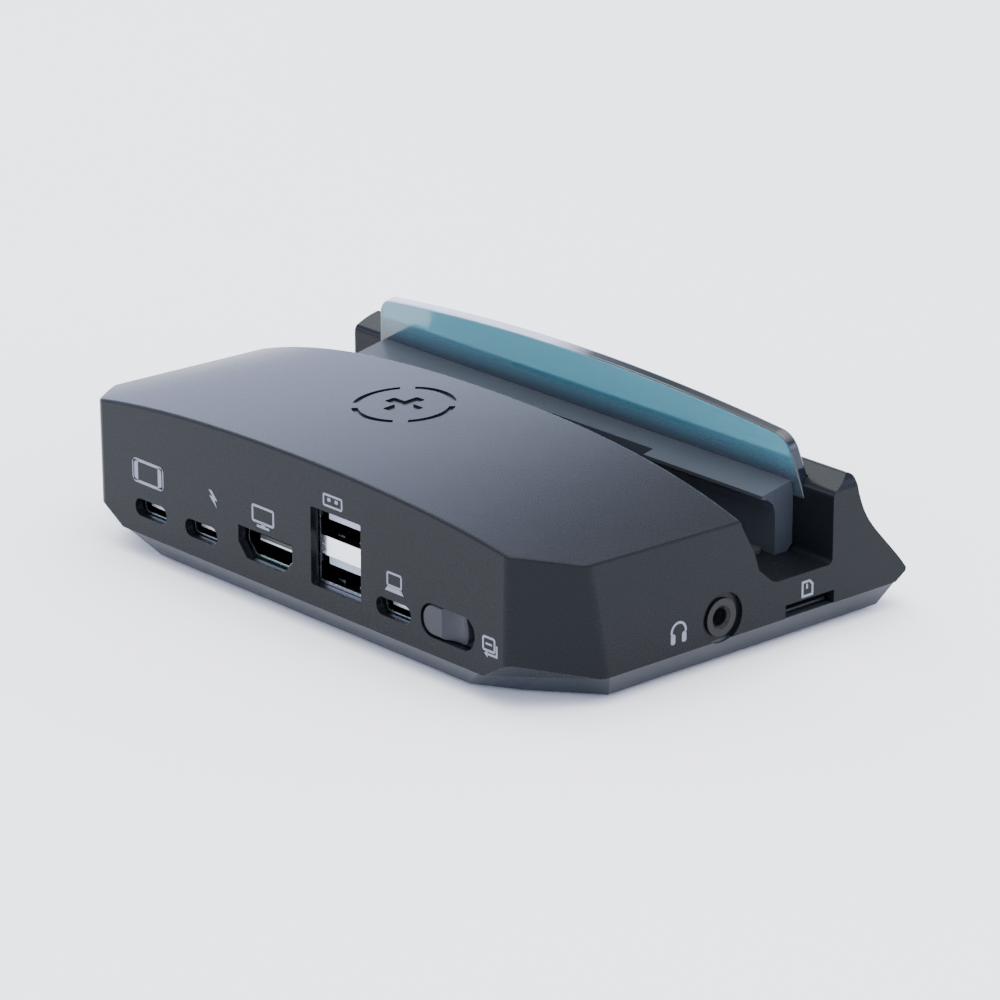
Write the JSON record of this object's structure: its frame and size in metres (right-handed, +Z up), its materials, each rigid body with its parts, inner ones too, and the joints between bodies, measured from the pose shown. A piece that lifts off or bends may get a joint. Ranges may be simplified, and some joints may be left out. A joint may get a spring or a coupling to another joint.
{
  "type": "docking station",
  "caption": "Low docking station for a handheld console: leaning device slot with a translucent guard panel, ports along the rear wall and one end, slide switch, screwed base cover.",
  "frame": {"origin": "middle of the bounding box in X and Y, on the plane under the rubber feet", "axes": "+X along the length, away from the headphone and card end; +Y out of the rear port wall; +Z up"},
  "size_m": [0.143, 0.0965, 0.041],
  "materials": {
    "housing_plastic": "dark gun-metal satin",
    "base_plastic": "dark slate satin moulding",
    "foot_rubber": "matte black",
    "screw_steel": "plain steel",
    "rail_plastic": "dark grey satin moulding",
    "panel_teal": "translucent teal, polished",
    "pad_rubber": "matte black silicone",
    "connector_shell": "bright nickel plate",
    "connector_black": "black moulded plastic",
    "connector_white": "white moulded plastic",
    "knob_plastic": "dark satin moulding",
    "collar_dark": "polished black ring",
    "board_laminate": "green solder mask",
    "cable_white": "flat white cable",
    "chip_black": "moulded chip package",
    "shield_tin": "tinned steel",
    "thermal_grey": "soft grey gap filler",
    "ferrite": "sintered ferrite",
    "capacitor_can": "aluminium can",
    "ballast_steel": "zinc-plated steel"
  },
  "bodies": {
    "dock": {"ballast_plate": "ballast_steel", "base_cover": "base_plastic", "base_screws": "screw_steel", "board_screws": "screw_steel", "cable_sockets": "connector_white", "card_board": "board_laminate", "card_socket_base": "connector_black", "card_socket_cover": "connector_shell", "crystal": "shield_tin", "flat_cable": "cable_white", "front_rest_rail": "rail_plastic", "guard_panel": "panel_teal", "headphone_collar": "collar_dark", "headphone_jack": "connector_black", "hub_chip": "chip_black", "main_board": "board_laminate", "power_chip": "chip_black", "power_inductors": "ferrite", "rail_screws": "screw_steel", "rubber_feet": "foot_rubber", "shield_can": "shield_tin", "slot_floor_pad": "pad_rubber", "storage_capacitors": "capacitor_can", "switch_body": "connector_black", "thermal_pad": "thermal_grey", "upper_housing": "housing_plastic", "usb_a_shell": "connector_shell", "usb_a_tongues": "connector_white", "usb_c_console_shell": "connector_shell", "usb_c_console_tongue": "connector_black", "usb_c_laptop_shell": "connector_shell", "usb_c_laptop_tongue": "connector_black", "usb_c_power_shell": "connector_shell", "usb_c_power_tongue": "connector_black", "video_bracket": "connector_black", "video_chip": "chip_black", "video_shell": "connector_shell", "video_tongue": "connector_black"},
    "switch": {"switch_knob": "knob_plastic"},
    "ejector": {"card_ejector": "connector_black"}
  },
  "joints": [
    {"name": "switch_slide", "type": "slide", "parent": "dock", "child": "switch", "axis": [-1, 0, 0], "range_m": [0, 0.0019]},
    {"name": "card_slide", "type": "slide", "parent": "dock", "child": "ejector", "axis": [1, 0, 0], "range_m": [0, 0.0012], "stiffness_N_per_m": 200}
  ]
}
